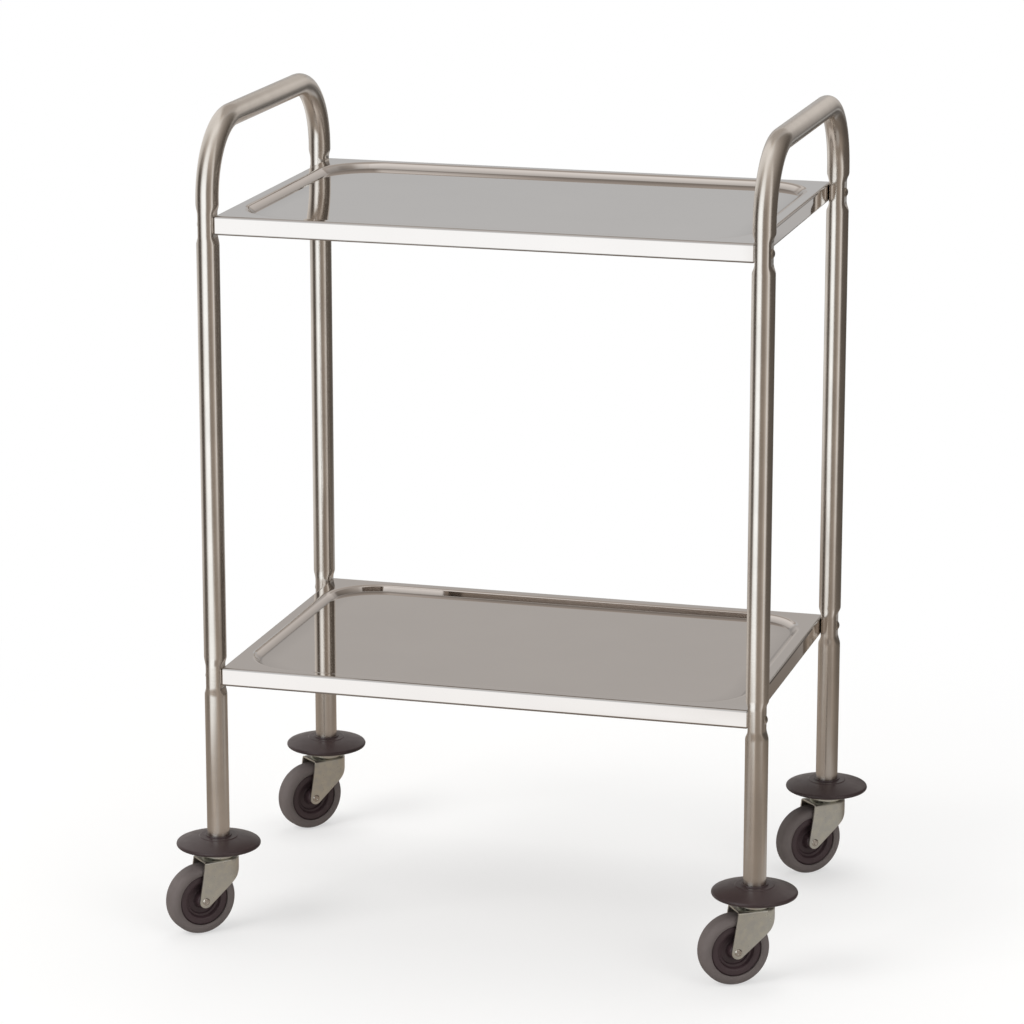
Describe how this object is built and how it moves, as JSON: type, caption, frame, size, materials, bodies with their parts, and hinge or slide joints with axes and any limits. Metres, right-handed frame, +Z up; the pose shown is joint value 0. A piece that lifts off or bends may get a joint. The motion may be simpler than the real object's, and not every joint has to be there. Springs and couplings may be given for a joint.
{
  "type": "serving trolley",
  "caption": "Two-tier serving trolley: bent tube side frames whose tops are the push handles, pressed trays with sunken floors, swivel castors under round bumpers.",
  "frame": {"origin": "on the floor, midway between the four legs", "axes": "+Z up; +X to the right along the trays' long side; +Y from the front towards the rear"},
  "size_m": [0.7159, 0.4859, 0.9297],
  "materials": {
    "frame_tube": "satin stainless tube",
    "tray_steel": "mirror polished stainless sheet",
    "screw_steel": "polished stainless screw heads",
    "fastener_steel": "zinc plated, clear passivated",
    "castor_steel": "zinc plated pressed steel, satin",
    "bumper_rubber": "smooth moulded rubber, slightly glossy",
    "tyre_rubber": "matt non-marking grey rubber",
    "hub_plastic": "moulded polypropylene",
    "plug_plastic": "moulded nylon"
  },
  "bodies": {
    "frame": {"left_side_frame": "frame_tube", "right_side_frame": "frame_tube", "top_shelf": "tray_steel", "top_shelf_screws": "screw_steel", "top_shelf_washers": "fastener_steel", "top_shelf_nuts": "fastener_steel", "bottom_shelf": "tray_steel", "bottom_shelf_screws": "screw_steel", "bottom_shelf_washers": "fastener_steel", "bottom_shelf_nuts": "fastener_steel", "front_left_tube_plug": "plug_plastic", "front_left_stem": "castor_steel", "front_left_bumper_disc": "bumper_rubber", "front_left_swivel_head": "castor_steel", "front_right_tube_plug": "plug_plastic", "front_right_stem": "castor_steel", "front_right_bumper_disc": "bumper_rubber", "front_right_swivel_head": "castor_steel", "rear_left_tube_plug": "plug_plastic", "rear_left_stem": "castor_steel", "rear_left_bumper_disc": "bumper_rubber", "rear_left_swivel_head": "castor_steel", "rear_right_tube_plug": "plug_plastic", "rear_right_stem": "castor_steel", "rear_right_bumper_disc": "bumper_rubber", "rear_right_swivel_head": "castor_steel"},
    "front_left_castor": {"front_left_race_balls": "fastener_steel", "front_left_fork": "castor_steel", "front_left_axle_bolt": "fastener_steel", "front_left_axle_nut": "fastener_steel", "front_left_axle_sleeve": "fastener_steel"},
    "front_left_wheel": {"front_left_wheel_hub": "hub_plastic", "front_left_tyre": "tyre_rubber"},
    "front_right_castor": {"front_right_race_balls": "fastener_steel", "front_right_fork": "castor_steel", "front_right_axle_bolt": "fastener_steel", "front_right_axle_nut": "fastener_steel", "front_right_axle_sleeve": "fastener_steel"},
    "front_right_wheel": {"front_right_wheel_hub": "hub_plastic", "front_right_tyre": "tyre_rubber"},
    "rear_left_castor": {"rear_left_race_balls": "fastener_steel", "rear_left_fork": "castor_steel", "rear_left_axle_bolt": "fastener_steel", "rear_left_axle_nut": "fastener_steel", "rear_left_axle_sleeve": "fastener_steel"},
    "rear_left_wheel": {"rear_left_wheel_hub": "hub_plastic", "rear_left_tyre": "tyre_rubber"},
    "rear_right_castor": {"rear_right_race_balls": "fastener_steel", "rear_right_fork": "castor_steel", "rear_right_axle_bolt": "fastener_steel", "rear_right_axle_nut": "fastener_steel", "rear_right_axle_sleeve": "fastener_steel"},
    "rear_right_wheel": {"rear_right_wheel_hub": "hub_plastic", "rear_right_tyre": "tyre_rubber"}
  },
  "joints": [
    {"name": "front_left_swivel", "type": "hinge", "parent": "frame", "child": "front_left_castor", "pos_m": [-0.309, -0.194, 0.0866], "axis": [0, 0, 1], "continuous": true},
    {"name": "front_left_roll", "type": "hinge", "parent": "front_left_castor", "child": "front_left_wheel", "pos_m": [-0.32597, -0.21097, 0.04], "axis": [0.7071, -0.7071, 0], "continuous": true},
    {"name": "front_right_swivel", "type": "hinge", "parent": "frame", "child": "front_right_castor", "pos_m": [0.309, -0.194, 0.0866], "axis": [0, 0, 1], "continuous": true},
    {"name": "front_right_roll", "type": "hinge", "parent": "front_right_castor", "child": "front_right_wheel", "pos_m": [0.2891, -0.20742, 0.04], "axis": [0.5592, -0.829, 0], "continuous": true},
    {"name": "rear_left_swivel", "type": "hinge", "parent": "frame", "child": "rear_left_castor", "pos_m": [-0.309, 0.194, 0.0866], "axis": [0, 0, 1], "continuous": true},
    {"name": "rear_left_roll", "type": "hinge", "parent": "rear_left_castor", "child": "rear_left_wheel", "pos_m": [-0.32506, 0.17616, 0.04], "axis": [0.7431, -0.6691, 0], "continuous": true},
    {"name": "rear_right_swivel", "type": "hinge", "parent": "frame", "child": "rear_right_castor", "pos_m": [0.309, 0.194, 0.0866], "axis": [0, 0, 1], "continuous": true},
    {"name": "rear_right_roll", "type": "hinge", "parent": "rear_right_castor", "child": "rear_right_wheel", "pos_m": [0.29145, 0.17763, 0.04], "axis": [0.682, -0.7314, 0], "continuous": true}
  ]
}
